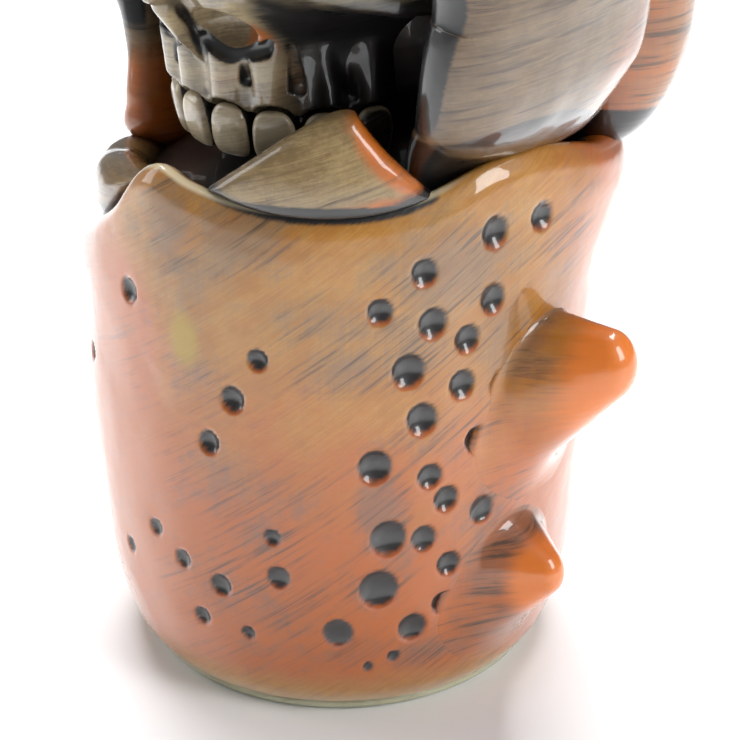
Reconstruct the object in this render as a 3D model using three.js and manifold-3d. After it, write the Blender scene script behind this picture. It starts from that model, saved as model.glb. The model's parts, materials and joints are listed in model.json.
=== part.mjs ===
// Ceramic tiki mug: a barrel shaped like the palm of a crab's claw holds a skull between its two pincers.
// Millimetres, +Z up. The origin is the centre of the foot's flat underside and the skull faces -Y.
// Places round the mug are given as [angle, radius, height], the angle in degrees from -Y towards +X.
import * as THREE from "three";
import { mergeVertices } from "three/addons/utils/BufferGeometryUtils.js";
import Module from "manifold-3d";

const wasm = await Module();
wasm.setup();

// ---------------------------------------------------------------- driving dimensions
const GAP = 0.3; // clearance between two pieces that meet
const BARREL_RADIUS = 45;
const FOOT_RADIUS = 36.5;
const FOOT_THICKNESS = 2.4;
const WALL = 4.5;
const RIM_HEIGHT = 100; // crest of the barrel's rim before it is carved
const MOUTH_HEIGHT = 168; // top of the drinking rim

const ARCH_RADIUS = 24; // dental arch of the skull, seen from above
const ARCH_CENTRE_Y = -6.5;
const TOOTH_PITCH = 21; // degrees of the dental arch per tooth
const TOOTH_BOTTOM = 99.5;
const TOOTH_TOP = 109.3;

// Thorns: a round root inside the wall and a smaller round tip, both taller than they are wide.
const SPIKES = [
  { name: "upper_spike", root: [94.5, 36, 58], rootRadius: 13.5, tip: [98, 55.8, 67.3], tipRadius: 5.2 },
  { name: "lower_spike", root: [87, 36, 26.5], rootRadius: 12.5, tip: [89, 51, 29.2], tipRadius: 3.6 },
];
const SPIKE_STRETCH = 1.25;

// ---------------------------------------------------------------- small tools
const radians = THREE.MathUtils.degToRad;
const smoothstep = THREE.MathUtils.smoothstep;

// A point at an angle and radius round the mug's axis.
function ringPoint([angle, radius, height]) {
  const a = radians(angle);
  return new THREE.Vector3(radius * Math.sin(a), -radius * Math.cos(a), height);
}

// The smallest turn between two angles, in degrees.
function angleBetween(a, b) {
  return Math.abs(((((a - b) % 360) + 540) % 360) - 180);
}

// 1 at an angle, falling smoothly to 0 at halfWidth degrees on either side.
function swell(angle, centre, halfWidth) {
  return 1 - smoothstep(angleBetween(angle, centre), 0, halfWidth);
}

// Reads a list of [position, value] stops as a smooth curve, level past its ends.
function along(stops, x) {
  const [first, last] = [stops[0][0], stops[stops.length - 1][0]];
  const curve = new THREE.CubicInterpolant(stops.map(([at]) => at), stops.map(([, value]) => value), 1);
  return curve.evaluate(THREE.MathUtils.clamp(x, first, last))[0];
}

// A closed geometry as a manifold-3d solid.
function toSolid(geometry) {
  const bare = geometry.clone();
  bare.deleteAttribute("normal");
  bare.deleteAttribute("uv");
  const merged = mergeVertices(bare, 1e-4);
  const corners = [];
  for (let i = 0; i < merged.index.count; i += 3) {
    const [a, b, c] = merged.index.array.subarray(i, i + 3);
    if (a !== b && b !== c && c !== a) corners.push(a, b, c);
  }
  return new wasm.Manifold(
    new wasm.Mesh({
      numProp: 3,
      vertProperties: new Float32Array(merged.attributes.position.array),
      triVerts: new Uint32Array(corners),
    }),
  );
}

// A manifold-3d solid as a geometry.
function toGeometry(solid) {
  const mesh = solid.getMesh();
  return new THREE.BufferGeometry()
    .setAttribute("position", new THREE.BufferAttribute(mesh.vertProperties, 3))
    .setIndex(new THREE.BufferAttribute(mesh.triVerts, 1))
    .toNonIndexed();
}

function joined(solids) {
  return solids.reduce((all, one) => all.add(one));
}

const AXES = [[1, 0, 0], [0, 1, 0], [0, 0, 1]];

// The same solid with its skin pushed outwards by GAP. Shifted copies keep sharp edges and creases covered.
function grown(solid) {
  const skin = mergeVertices(toGeometry(solid), 1e-4);
  skin.computeVertexNormals();
  const normals = skin.attributes.normal;
  const places = skin.attributes.position;
  for (let i = 0; i < places.count; i++) {
    const at = new THREE.Vector3().fromBufferAttribute(places, i);
    at.addScaledVector(new THREE.Vector3().fromBufferAttribute(normals, i), GAP);
    places.setXYZ(i, at.x, at.y, at.z);
  }
  const shifts = [-0.6, 0.6].flatMap((share) => AXES.map((axis) => axis.map((c) => c * share * GAP)));
  return joined([toSolid(skin), ...shifts.map((shift) => solid.translate(shift))]);
}

// What is left of a solid after its neighbours are cut away: the largest body, without loose slivers.
function fitted(solid, neighbours) {
  const bodies = neighbours.reduce((left, one) => left.subtract(one), solid).decompose();
  return bodies.reduce((best, one) => (one.volume() > best.volume() ? one : best));
}

// Moves every vertex of a geometry: change takes the vertex and its uv, and returns its new place.
function reshape(geometry, change) {
  const places = geometry.attributes.position;
  const uvs = geometry.attributes.uv;
  const at = new THREE.Vector3();
  for (let i = 0; i < places.count; i++) {
    at.fromBufferAttribute(places, i);
    const to = change(at, uvs.getX(i), uvs.getY(i));
    places.setXYZ(i, to.x, to.y, to.z);
  }
  return geometry;
}

// ---------------------------------------------------------------- shape makers
// A turned body round the Z axis from [radius, height] points, walked so that the material is on the left.
function turned(points, segments) {
  const profile = points.map(([r, z]) => new THREE.Vector2(r, z));
  return new THREE.LatheGeometry(profile, segments).rotateX(Math.PI / 2);
}

// A rounded body: its outline is a closed shape in X and Y, and it swells by front and back along Z.
function pillow(outline, { front, back, centre = [0, 0], around = 24, across = 10 }) {
  const middle = new THREE.Vector2(...centre);
  return reshape(new THREE.SphereGeometry(1, around, across), (v, turn, rise) => {
    const spread = Math.sin(Math.PI * rise);
    const edge = outline.getPoint(turn % 1).sub(middle).multiplyScalar(spread);
    const depth = -Math.cos(Math.PI * rise);
    return new THREE.Vector3(middle.x + edge.x, middle.y + edge.y, depth * (depth > 0 ? front : back));
  });
}

// Bends a geometry round the mug: X runs round it, Y goes up and Z points outwards.
function wrapped(geometry, [angle, radius, height], lean = 0) {
  return reshape(geometry, (v) => {
    const out = radius + v.z - lean * v.y;
    return ringPoint([angle + THREE.MathUtils.radToDeg(v.x / radius), out, height + v.y]);
  });
}

// A tapering body with full flanks along a curve. Its half depth away from the axis is out(t), and its
// half width across that is side(t).
function horn(curve, { side, out, around, steps }) {
  const full = (x) => Math.sign(x) * Math.abs(x) ** 0.84;
  return reshape(new THREE.SphereGeometry(1, around, steps), (v, turn, rise) => {
    const at = curve.getPointAt(rise);
    const tangent = curve.getTangentAt(rise);
    const front = new THREE.Vector3(at.x, at.y, 0);
    front.addScaledVector(tangent, -front.dot(tangent)).normalize();
    const across = new THREE.Vector3().crossVectors(tangent, front);
    const a = 2 * Math.PI * turn;
    return at
      .addScaledVector(across, -full(Math.cos(a)) * side(rise))
      .addScaledVector(front, full(Math.sin(a)) * out(rise));
  });
}

function ellipsoid([x, y, z], [rx, ry, rz], around = 24, across = 14) {
  return toSolid(new THREE.SphereGeometry(1, around, across).scale(rx, ry, rz).translate(x, y, z));
}

// ---------------------------------------------------------------- barrel (the palm)
// Height of the carved rim at angles round the mug: it dips at the right of the face and rises at the left.
const RIM_CREST = [
  [-180, 98], [-150, 98.6], [-120, 92], [-95, 82], [-75, 77.5], [-60, 77.5], [-45, 79.5], [-30, 84],
  [-20, 87.8], [-10, 93.2], [-3, 99], [4, 102], [12, 100.3], [25, 98.4], [40, 98], [55, 98.6], [65, 99.8],
  [80, 103.3], [92, 104.2], [105, 102], [117, 99.3], [135, 98], [155, 98], [180, 98],
];

// How far the carved rim stands above or below RIM_HEIGHT at an angle round the mug.
function rimLift(angle) {
  return along(RIM_CREST, ((angle + 180) % 360) - 180) - RIM_HEIGHT;
}

// The rim flares outwards behind the pincers, at both sides of the back.
function rimFlare(angle) {
  return 4.6 * Math.max(swell(angle, 132, 55), swell(angle, -132, 55));
}

// Outside of the barrel: [radius, height, share of rimLift, share of rimFlare].
const BARREL_OUTSIDE = [
  [FOOT_RADIUS - 0.5, FOOT_THICKNESS + GAP, 0, 0],
  [39, 4.4, 0, 0],
  [41, 9, 0, 0],
  [42.8, 16, 0, 0],
  [44, 26, 0, 0],
  [44.7, 38, 0, 0],
  [BARREL_RADIUS, 52, 0, 0],
  [BARREL_RADIUS, 66, 0.05, 0.02],
  [45.1, 78, 0.3, 0.35],
  [45.3, 88, 0.72, 0.8],
  [45.2, 94, 0.95, 1],
  [44.4, 98, 1, 0.95],
  [42.6, RIM_HEIGHT, 1, 0.8],
  [40.4, 99.4, 0.9, 0.5],
  [38.4, 97, 0.7, 0.3],
  [37.2, 93.5, 0.5, 0.1],
  [36.6, 90, 0.3, 0],
];
// Inside of the barrel, from the opening down to the middle of its floor.
const BARREL_INSIDE = [
  [36.6, 87.5, 0.3, 0],
  [38.4, 84.5, 0.35, 0],
  [40.2, 79, 0.25, 0.05],
  [BARREL_RADIUS - WALL, 64, 0, 0],
  [BARREL_RADIUS - WALL, 46, 0, 0],
  [39.6, 28, 0, 0],
  [37.4, 15, 0, 0],
  [33, 9.5, 0, 0],
  [26, 8, 0, 0],
];
const BARREL_SEGMENTS = 48;

// The barrel's profile turned round the axis, then its top carved into the wavy, flaring rim.
function carvedBarrel(rows) {
  const bottom = rows[0][1];
  const top = rows[rows.length - 1][1];
  const points = [[0, bottom], ...rows.map(([r, z]) => [r, z]), [0, top]];
  const steps = points.length - 1;
  return reshape(turned(points, BARREL_SEGMENTS), (v, turn, rise) => {
    const row = rows[Math.round(rise * steps) - 1] ?? [0, 0, 0, 0];
    const angle = 360 * turn;
    const radius = Math.hypot(v.x, v.y);
    const wider = radius > 0 ? (radius + row[3] * rimFlare(angle)) / radius : 1;
    return new THREE.Vector3(v.x * wider, v.y * wider, v.z + row[2] * rimLift(angle));
  });
}

function barrel() {
  return carvedBarrel([...BARREL_OUTSIDE, ...BARREL_INSIDE]);
}

// The barrel without its hollow, for fitting what is set against it.
function solidBarrel() {
  return toSolid(carvedBarrel(BARREL_OUTSIDE));
}

function footDisc() {
  const edge = [[FOOT_RADIUS - 1, 0], [FOOT_RADIUS, 0.8], [FOOT_RADIUS, FOOT_THICKNESS]];
  return turned([[0, 0], ...edge, [0, FOOT_THICKNESS]], BARREL_SEGMENTS);
}

// ---------------------------------------------------------------- upper wall of the cup
// [height, half depth front to back, half width as a share of it, how far the centre is behind the axis]
const NECK_ROWS = [
  [79, 36.1, 1, 0],
  [87, 36.1, 1, 0],
  [91, 30, 1.1, 4],
  [96, 24, 1.26, 9],
  [112, 24.5, 1.34, 8.5],
  [124, 28, 1.22, 7],
  [136, 31, 1.12, 5],
  [150, 32.5, 1.08, 3.5],
  [MOUTH_HEIGHT - 5, 33.5, 1.06, 3],
];
const NECK_SEGMENTS = 32;

function neckSection(height) {
  const read = (column) => along(NECK_ROWS.map((row) => [row[0], row[column]]), height);
  return { radius: read(1), widen: read(2), shift: read(3) };
}

// Turned points become ovals: each height has its own width and stands its own way behind the axis.
function oval(points) {
  return reshape(turned(points, NECK_SEGMENTS), (v) => {
    const { widen, shift } = neckSection(v.z);
    return new THREE.Vector3(v.x * widen, v.y + shift, v.z);
  });
}

// The upper wall as a filled solid, thinner all round by a distance and reaching from bottom to top.
function neckCore(inset, bottom, top) {
  const sides = NECK_ROWS.map(([z, r]) => [r - inset, z]);
  const [lowest, highest] = [sides[0][0], sides[sides.length - 1][0]];
  return toSolid(oval([[0, bottom], [lowest, bottom], ...sides, [highest, top], [0, top]]));
}

function neckWall() {
  const cavity = neckCore(WALL, 70, MOUTH_HEIGHT + 10).translate(0, 0, -3);
  return neckCore(0, NECK_ROWS[0][0] - 1, MOUTH_HEIGHT - 4.9).subtract(cavity);
}

function drinkingRim() {
  const { radius } = neckSection(MOUTH_HEIGHT);
  const bottom = MOUTH_HEIGHT - 4.6;
  const outer = radius + 0.8;
  const inner = radius - WALL;
  const section = [
    [inner, bottom],
    [outer, bottom],
    [outer + 0.4, MOUTH_HEIGHT - 2.4],
    [outer - 0.6, MOUTH_HEIGHT - 0.6],
    [outer - 2.4, MOUTH_HEIGHT],
    [inner + 1, MOUTH_HEIGHT - 0.4],
    [inner, MOUTH_HEIGHT - 1.8],
    [inner, bottom],
  ];
  return oval(section);
}

// ---------------------------------------------------------------- skull
// The upper jaw is a drum on the dental arch.
function upperJaw() {
  const bottom = TOOTH_TOP + GAP;
  const side = [[21.5, bottom], [23, bottom + 1], [ARCH_RADIUS, bottom + 4], [25.2, 120], [24, 128]];
  return toSolid(turned([[0, bottom], ...side, [0, 128]], 32).translate(0, ARCH_CENTRE_Y, 0));
}

function skull() {
  const bone = [ellipsoid([0, -8, 140], [35, 33, 27], 36, 20), upperJaw()];
  const hollows = [ellipsoid([0, -40, 127.5], [4.6, 6, 5.5], 12, 8)]; // top of the nose
  for (const side of [-1, 1]) {
    bone.push(ellipsoid([side * 12, -30, 149.5], [16, 10, 5], 20, 10)); // brow
    bone.push(ellipsoid([side * 25, -20, 131], [10, 14, 5.5], 20, 10)); // cheekbone
    hollows.push(ellipsoid([side * 14.5, -42, 139.5], [9.5, 14, 8], 18, 10)); // eye socket
    hollows.push(ellipsoid([side * 7.2, -32, 122.2], [5.4, 6.5, 4.2], 14, 8)); // lobe of the nose
  }
  return joined(bone).subtract(joined(hollows));
}

// A tooth stands on the dental arch, a number of half pitches from the middle of the face.
function tooth(halfPitches) {
  const angle = (halfPitches * TOOTH_PITCH) / 2;
  const wide = 3.65;
  const tall = (TOOTH_TOP - TOOTH_BOTTOM) / 2;
  const outline = new THREE.Shape()
    .moveTo(-wide, -tall * 0.5)
    .quadraticCurveTo(-wide * 0.9, -tall, 0, -tall)
    .quadraticCurveTo(wide * 0.9, -tall, wide, -tall * 0.5)
    .quadraticCurveTo(wide, tall, 0, tall)
    .quadraticCurveTo(-wide, tall, -wide, -tall * 0.5);
  const body = pillow(outline, { front: 2.2, back: 3, around: 16, across: 8 });
  const middle = (TOOTH_TOP + TOOTH_BOTTOM) / 2;
  return wrapped(body, [angle, ARCH_RADIUS - 3, middle], -0.18).translate(0, ARCH_CENTRE_Y, 0);
}

// ---------------------------------------------------------------- pieces set on the rim
// The pointed flap that leans against the skull's right-hand teeth.
function petal() {
  const outline = new THREE.Shape()
    .moveTo(-17.4, -7.4)
    .quadraticCurveTo(-1, -10.9, 17.3, -8)
    .quadraticCurveTo(9.5, -1, 5.2, 5.2)
    .quadraticCurveTo(2.2, 6.4, -6.5, 0.6)
    .quadraticCurveTo(-12.6, -3.9, -17.4, -7.4);
  const body = pillow(outline, { front: 3.4, back: 3.2, centre: [0, -4.6], around: 28, across: 8 });
  return wrapped(body, [42, 40.5, 107], 0.16);
}

// The bulging joint at the foot of the thin pincer. It follows the rim up towards the middle of the face.
function knuckle() {
  const outline = new THREE.Shape()
    .moveTo(-23, -1)
    .quadraticCurveTo(-12, -10, 3.3, -6.4)
    .quadraticCurveTo(14, -2.5, 26.5, 10.5)
    .quadraticCurveTo(14, 11, 2, 7.5)
    .quadraticCurveTo(-14, 7, -23, -1);
  return wrapped(pillow(outline, { front: 5, back: 5, around: 26, across: 8 }), [-50, 37.5, 85]);
}

// ---------------------------------------------------------------- pincers
// side is 1 for the skull's left hand pincer at +X and -1 for the other. Both halves taper to one hooked tip.
function mirrored([angle, radius, height], side) {
  return ringPoint([side * angle, radius, height]);
}

// Both front halves end alike, but the one over the notch stands on a narrow stalk.
const PAD_TIP = [[90, 45.3, 129], [87, 46, 141], [79, 45.5, 155], [62, 44, 169], [47, 41, 177]];
const PADS = {
  right: {
    spine: [[88, 33, 90], [88, 35, 102], [89, 40.5, 110], [89, 44, 119], ...PAD_TIP],
    width: [
      [0, 0], [0.03, 8], [0.07, 14], [0.12, 17], [0.21, 20.5], [0.3, 22], [0.4, 22], [0.52, 20.5], [0.64, 18],
      [0.8, 11.5], [0.93, 5.5], [1, 0],
    ],
    depth: [
      [0, 0], [0.03, 3], [0.07, 4], [0.12, 4.5], [0.17, 5.5], [0.21, 7], [0.3, 9.3], [0.4, 10], [0.52, 10.5],
      [0.66, 10], [0.8, 7.5], [0.93, 4], [1, 0],
    ],
  },
  left: {
    spine: [[80, 35, 86], [81, 35.5, 98], [83, 37, 106], [88, 41.5, 113], [89, 45, 120], ...PAD_TIP],
    width: [
      [0, 0], [0.02, 8], [0.05, 13], [0.1, 13.5], [0.19, 13], [0.23, 15.5], [0.28, 20.5], [0.34, 22],
      [0.44, 22], [0.54, 20.5], [0.66, 18], [0.82, 11], [0.93, 5.5], [1, 0],
    ],
    depth: [
      [0, 0], [0.02, 4], [0.05, 6.5], [0.1, 5.5], [0.19, 5], [0.23, 6], [0.28, 8], [0.34, 9.5], [0.44, 10],
      [0.54, 10.5], [0.66, 10], [0.82, 7], [0.93, 4], [1, 0],
    ],
  },
};

function pincerPad(side, { spine, width, depth }) {
  const curve = new THREE.CatmullRomCurve3(spine.map((p) => mirrored(p, side)));
  return horn(curve, { side: (t) => along(width, t), out: (t) => along(depth, t), around: 24, steps: 24 });
}

function pincerBack(side) {
  const spine = [
    [146, 36, 88], [147, 40, 96], [147, 44.5, 106], [146, 47, 118], [144, 46.5, 131], [141, 43.5, 145],
    [136, 39.5, 157],
  ];
  const curve = new THREE.CatmullRomCurve3(spine.map((p) => mirrored(p, side)));
  const width = [
    [0, 0], [0.05, 10], [0.13, 17], [0.3, 22.5], [0.5, 23], [0.65, 21], [0.8, 14], [0.93, 7], [1, 0],
  ];
  const depth = [
    [0, 0], [0.05, 4], [0.13, 7.5], [0.28, 11.5], [0.45, 13], [0.6, 13], [0.8, 10], [0.93, 5], [1, 0],
  ];
  return horn(curve, { side: (t) => along(width, t), out: (t) => along(depth, t), around: 22, steps: 16 });
}

// A thorn on the barrel: the rounded hull of a big ball sunk into the wall and a small one at the tip.
function spike({ root, rootRadius, tip, tipRadius }, side) {
  const ball = (place, radius) => {
    const at = mirrored(place, side);
    return ellipsoid(at.toArray(), [radius, radius, radius * SPIKE_STRETCH], 18, 10);
  };
  return wasm.Manifold.hull([ball(root, rootRadius), ball(tip, tipRadius)]);
}

// ---------------------------------------------------------------- materials
const glaze = (color, roughness = 0.12) => new THREE.MeshStandardMaterial({ color, roughness, metalness: 0 });
const orangeGlaze = glaze(0xc8864f);
const boneGlaze = glaze(0xb9a67e);
const tanGlaze = glaze(0xb69563);
const spikeGlaze = glaze(0xd0692a);
const liningGlaze = glaze(0x2a2320, 0.1);
const rawClay = glaze(0xc9c4ae, 0.7);

// ---------------------------------------------------------------- assembly
const mug = new THREE.Group();
mug.name = "tiki_mug";

function add(name, geometry, material) {
  const mesh = new THREE.Mesh(geometry, material);
  mesh.name = name;
  mug.add(mesh);
}

// Each piece is shaped whole, then fitted against those already in place.
const neck = grown(neckCore(0, 77, MOUTH_HEIGHT + 15));
const palm = grown(solidBarrel());
const mouth = grown(toSolid(drinkingRim()));
const fixed = [neck, palm, mouth];

function addFitted(name, solid, neighbours, material) {
  const piece = fitted(solid, neighbours);
  add(name, toGeometry(piece), material);
  return grown(piece);
}

add("foot_disc", footDisc(), rawClay);
add("barrel", barrel(), orangeGlaze);
add("neck_wall", toGeometry(neckWall()), liningGlaze);
add("drinking_rim", drinkingRim(), liningGlaze);

const face = [addFitted("skull", skull(), fixed, boneGlaze)];
for (let i = -7; i <= 7; i += 2) {
  face.push(addFitted(`tooth_${(i + 9) / 2}`, toSolid(tooth(i)), [...fixed, face[0]], boneGlaze));
}
const flap = addFitted("petal", toSolid(petal()), [...fixed, ...face], tanGlaze);
const joint = addFitted("knuckle", toSolid(knuckle()), [...fixed, ...face], tanGlaze);

for (const [side, name] of [[1, "right"], [-1, "left"]]) {
  const near = [...fixed, ...face, flap, joint];
  const pad = addFitted(`${name}_pincer_pad`, toSolid(pincerPad(side, PADS[name])), near, tanGlaze);
  const back = fitted(toSolid(pincerBack(side)), [...near, pad]);
  const ownHalf = back.trimByPlane([side, 0, 0], GAP / 2);
  add(`${name}_pincer_back`, toGeometry(ownHalf), orangeGlaze);
  for (const dims of SPIKES) addFitted(`${name}_${dims.name}`, spike(dims, side), fixed, spikeGlaze);
}

export default mug;
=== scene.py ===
"""Glazed ceramic tiki mug: a crab's claw holds a skull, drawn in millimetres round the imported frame.

Places round the mug are given by an angle in degrees, from -Y towards +X, a radius and a height.
"""
import json
import math

import bpy
import numpy as np
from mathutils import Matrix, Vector
from mathutils.bvhtree import BVHTree


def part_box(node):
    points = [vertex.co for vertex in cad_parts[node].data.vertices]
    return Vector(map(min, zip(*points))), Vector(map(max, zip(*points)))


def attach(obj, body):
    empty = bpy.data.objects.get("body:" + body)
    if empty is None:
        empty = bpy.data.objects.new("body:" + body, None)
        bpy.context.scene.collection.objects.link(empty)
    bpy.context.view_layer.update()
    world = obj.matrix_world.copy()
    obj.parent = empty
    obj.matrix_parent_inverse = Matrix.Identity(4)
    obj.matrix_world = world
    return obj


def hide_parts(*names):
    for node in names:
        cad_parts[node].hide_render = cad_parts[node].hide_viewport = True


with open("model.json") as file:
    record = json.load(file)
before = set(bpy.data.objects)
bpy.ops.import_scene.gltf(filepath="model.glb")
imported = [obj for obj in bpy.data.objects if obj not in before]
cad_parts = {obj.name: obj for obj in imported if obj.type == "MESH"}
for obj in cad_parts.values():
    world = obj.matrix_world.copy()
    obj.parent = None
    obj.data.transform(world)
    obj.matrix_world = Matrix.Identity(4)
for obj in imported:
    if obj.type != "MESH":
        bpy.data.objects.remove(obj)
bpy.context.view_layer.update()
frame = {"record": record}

MM = 0.001  # Blender works in metres, this script in millimetres

# ---------------------------------------------------------------- places taken from the frame


def node_box(node):
    """A CAD node's lowest and highest corners, in millimetres."""
    low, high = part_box(node)
    return np.array(low) / MM, np.array(high) / MM


MOUTH_TOP = node_box("drinking_rim")[1][2]

RIM_HEIGHT = 100.0  # crest of the barrel's rim before it is carved
BARREL_RADIUS = 45.0
WALL = 4.5
ARCH_RADIUS = 24.0  # dental arch, seen from above
ARCH_CENTRE = np.array([0.0, -6.5])
TOOTH_PITCH = 21.0  # degrees of the dental arch per tooth

# ---------------------------------------------------------------- numbers and curves


def smoothstep(x, low, high):
    t = np.clip((x - low) / (high - low), 0, 1)
    return t * t * (3 - 2 * t)


def turn_between(a, b):
    """The smallest turn between two angles, in degrees."""
    return np.abs((a - b + 180) % 360 - 180)


def swell(angle, centre, half_width):
    """1 at an angle, falling smoothly to 0 at half_width degrees on either side."""
    return 1 - smoothstep(turn_between(angle, centre), 0, half_width)


def along(stops, x):
    """Reads rows of (position, value, ...) as smooth curves, level past their ends."""
    stops = np.asarray(stops, float)
    at, values = stops[:, 0], stops[:, 1:]
    slopes = np.gradient(values, at, axis=0)
    x = np.clip(x, at[0], at[-1])
    i = np.clip(np.searchsorted(at, x, side="right") - 1, 0, len(at) - 2)
    step = (at[i + 1] - at[i])[..., None]
    t = ((x - at[i]) / (at[i + 1] - at[i]))[..., None]
    h00, h10 = 2 * t**3 - 3 * t**2 + 1, t**3 - 2 * t**2 + t
    h01, h11 = -2 * t**3 + 3 * t**2, t**3 - t**2
    return h00 * values[i] + h10 * step * slopes[i] + h01 * values[i + 1] + h11 * step * slopes[i + 1]


def resampled(points, count):
    """A smooth curve through a list of points, as evenly spaced points."""
    points = np.asarray(points, float)
    knots = np.r_[0, np.cumsum(np.linalg.norm(np.diff(points[:, :3], axis=0), axis=1))]
    dense = along(np.c_[knots, points], np.linspace(0, knots[-1], count * 8))
    walked = np.r_[0, np.cumsum(np.linalg.norm(np.diff(dense[:, :3], axis=0), axis=1))]
    even = np.linspace(0, walked[-1], count)
    return np.stack([np.interp(even, walked, column) for column in dense.T], axis=1)


def ring_point(angle, radius, height):
    """The point, or points, at an angle and radius round the mug's axis."""
    a = np.radians(angle)
    return np.stack(np.broadcast_arrays(radius * np.sin(a), -radius * np.cos(a), height), axis=-1)


def angle_of(points):
    return np.degrees(np.arctan2(points[..., 0], -points[..., 1]))


def wobble(points, size, seed):
    """A slow unevenness between -1 and 1, as hand-finished clay has."""
    draw = np.random.default_rng(seed)
    total = np.zeros(points.shape[:-1])
    for _ in range(6):
        direction = draw.normal(size=3)
        direction /= np.linalg.norm(direction)
        quickness, start = draw.uniform(0.6, 1.5), draw.uniform(0, 6.3)
        total += np.sin(points @ direction * (2 * math.pi / size) * quickness + start)
    return total / 6


# ---------------------------------------------------------------- meshes


def build_mesh(name, points, *face_sets):
    """A smooth mesh from points in millimetres and arrays of quads and triangles."""
    mesh = bpy.data.meshes.new(name)
    corners = np.concatenate([faces.ravel() for faces in face_sets]).astype(np.int32)
    sizes = np.concatenate([np.full(len(faces), faces.shape[1]) for faces in face_sets])
    mesh.vertices.add(len(points))
    mesh.vertices.foreach_set("co", (points * MM).astype(np.float32).ravel())
    mesh.loops.add(len(corners))
    mesh.loops.foreach_set("vertex_index", corners)
    mesh.polygons.add(len(sizes))
    mesh.polygons.foreach_set("loop_start", (np.cumsum(sizes) - sizes).astype(np.int32))
    mesh.update(calc_edges=True)
    mesh.validate()
    mesh.shade_smooth()
    return mesh


def vertex_array(mesh):
    points = np.empty(len(mesh.vertices) * 3, np.float32)
    mesh.vertices.foreach_get("co", points)
    return points.reshape(-1, 3).astype(float) / MM


def normal_array(mesh):
    normals = np.empty(len(mesh.vertices) * 3, np.float32)
    mesh.vertex_normals.foreach_get("vector", normals)
    return normals.reshape(-1, 3).astype(float)


def quads_between(row, next_row, column, columns):
    """The quads that join rows of points to the next ones, closed round the columns."""
    beside = (column + 1) % columns
    corners = [
        row * columns + column, row * columns + beside,
        next_row * columns + beside, next_row * columns + column,
    ]
    return np.stack(corners, axis=-1).reshape(-1, 4)


def closed_grid(name, rings):
    """A closed skin over rings of points [row, column, xyz]. Its first and last rows shrink to a point."""
    rows, columns = rings.shape[:2]
    inner = rings[1:-1].reshape(-1, 3)
    points = np.vstack([inner, rings[0].mean(axis=0), rings[-1].mean(axis=0)])
    row, column = np.meshgrid(np.arange(rows - 3), np.arange(columns), indexing="ij")
    quads = quads_between(row, row + 1, column, columns)
    ring = np.arange(columns)
    next_one = (ring + 1) % columns
    top = (rows - 3) * columns
    first = np.stack([np.full(columns, len(points) - 2), next_one, ring], axis=1)
    last = np.stack([np.full(columns, len(points) - 1), top + ring, top + next_one], axis=1)
    return build_mesh(name, points, quads, np.vstack([first, last]))


def closed_band(name, rings):
    """A closed skin over rings of points [row, column, xyz] whose last row meets the first."""
    rows, columns = rings.shape[:2]
    row, column = np.meshgrid(np.arange(rows), np.arange(columns), indexing="ij")
    return build_mesh(name, rings.reshape(-1, 3), quads_between(row, (row + 1) % rows, column, columns))


# ---------------------------------------------------------------- solid fields, negative inside


def ellipsoid(p, centre, radii):
    q = (p - centre) / radii
    far = np.linalg.norm(q, axis=-1)
    steep = np.linalg.norm(q / radii, axis=-1)
    return far * (far - 1) / np.maximum(steep, 1e-6)


def strand(p, points, radii):
    """A rounded rod along a chain of points, with a radius at each."""
    best = None
    for a, b, ra, rb in zip(points[:-1], points[1:], radii[:-1], radii[1:]):
        a, b = np.asarray(a, float), np.asarray(b, float)
        step = b - a
        t = np.clip((p - a) @ step / (step @ step), 0, 1)
        one = np.linalg.norm(p - a - t[..., None] * step, axis=-1) - (ra + (rb - ra) * t)
        best = one if best is None else np.minimum(best, one)
    return best


def round_cone(p, a, b, ra, rb):
    """The tight skin round two balls."""
    step = b - a
    length = np.linalg.norm(step)
    along_axis = (p - a) @ (step / length)
    across = np.sqrt(np.maximum(((p - a) ** 2).sum(axis=-1) - along_axis**2, 0))
    lean = (ra - rb) / length
    upright = math.sqrt(1 - lean**2)
    t = np.clip((along_axis - across * lean / upright) / length, 0, 1)
    near = np.hypot(across, along_axis - t * length)
    return near - (ra + (rb - ra) * t)


def join(a, b, soft):
    """Both solids, with a fillet of about the soft radius where they meet."""
    h = np.clip(0.5 + 0.5 * (b - a) / soft, 0, 1)
    return b + (a - b) * h - soft * h * (1 - h)


def common(a, b, soft):
    return -join(-a, -b, soft)


def carve(a, b, soft):
    """The first solid without the second."""
    return common(a, -b, soft)


def mirrored(p):
    """Folds +X and -X together, for what is the same on both sides."""
    return np.concatenate([np.abs(p[..., :1]), p[..., 1:]], axis=-1)


def slope_of(field, points, step=0.05):
    moves = np.eye(3) * step
    return np.stack([(field(points + m) - field(points - m)) / (2 * step) for m in moves], axis=-1)


def field_values(field, axes, coarse=4):
    """A field on a lattice, worked out exactly only near its surface."""
    shape = [len(axis) for axis in axes]
    rough_axes = [axis[::coarse] for axis in axes]
    rough = field(np.stack(np.meshgrid(*rough_axes, indexing="ij"), axis=-1).reshape(-1, 3))
    values = rough.reshape([len(axis) for axis in rough_axes])
    for i, size in enumerate(shape):
        values = np.repeat(values, coarse, axis=i).take(np.arange(size), axis=i)
    cell = axes[0][1] - axes[0][0]
    near = np.argwhere(np.abs(values) < 2.4 * coarse * cell)
    places = np.stack([axes[i][near[:, i]] for i in range(3)], axis=-1)
    values[tuple(near.T)] = field(places)
    return values


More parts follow.
